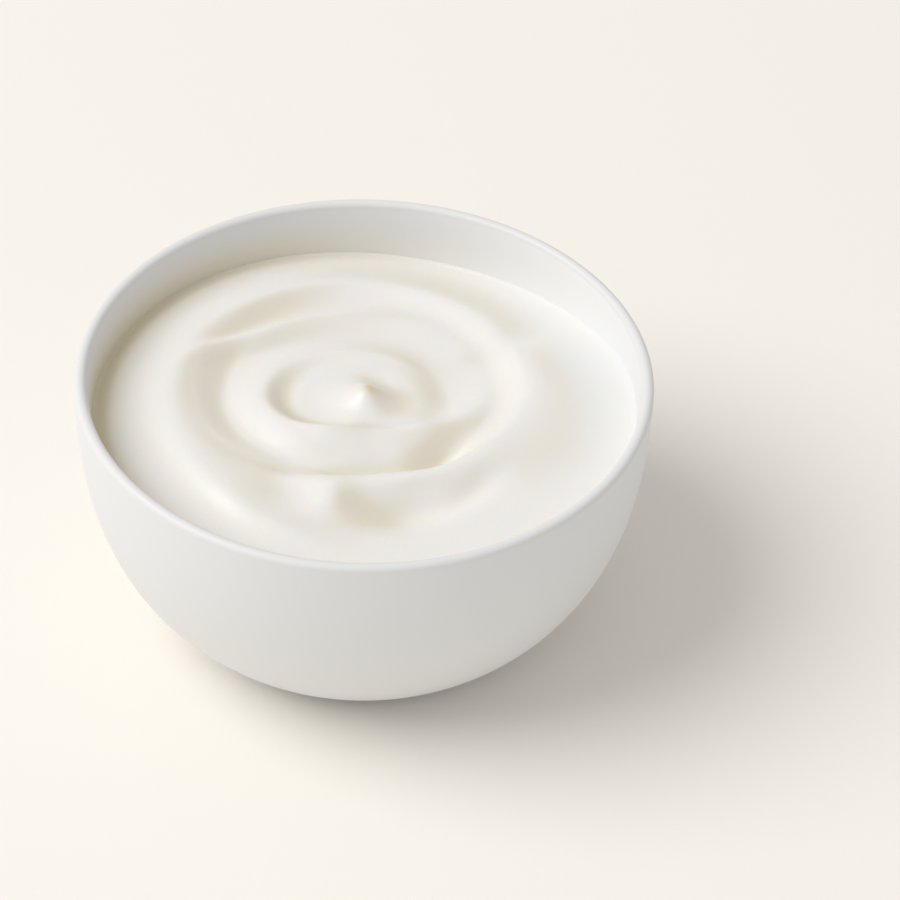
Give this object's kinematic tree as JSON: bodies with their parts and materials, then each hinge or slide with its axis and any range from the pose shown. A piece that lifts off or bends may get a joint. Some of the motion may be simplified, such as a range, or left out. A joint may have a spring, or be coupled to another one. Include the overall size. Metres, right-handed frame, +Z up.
{
  "type": "bowl of yogurt",
  "caption": "Smooth round porcelain bowl filled with plain stirred yogurt, its surface swirled round a soft peak.",
  "frame": {"origin": "centre of the foot ring's standing face, on the surface the bowl stands on", "axes": "+Z up out of the bowl, along its axis; +Y towards the back, so -Y faces the viewer; +X to the viewer's right"},
  "size_m": [0.14, 0.14, 0.07],
  "materials": {
    "porcelain": "smooth white glaze, slightly cool at the rim",
    "yogurt": "moist warm white, soft sheen, light passes a little way in"
  },
  "bodies": {
    "root": {"bowl": "porcelain", "yogurt": "yogurt"}
  },
  "joints": []
}
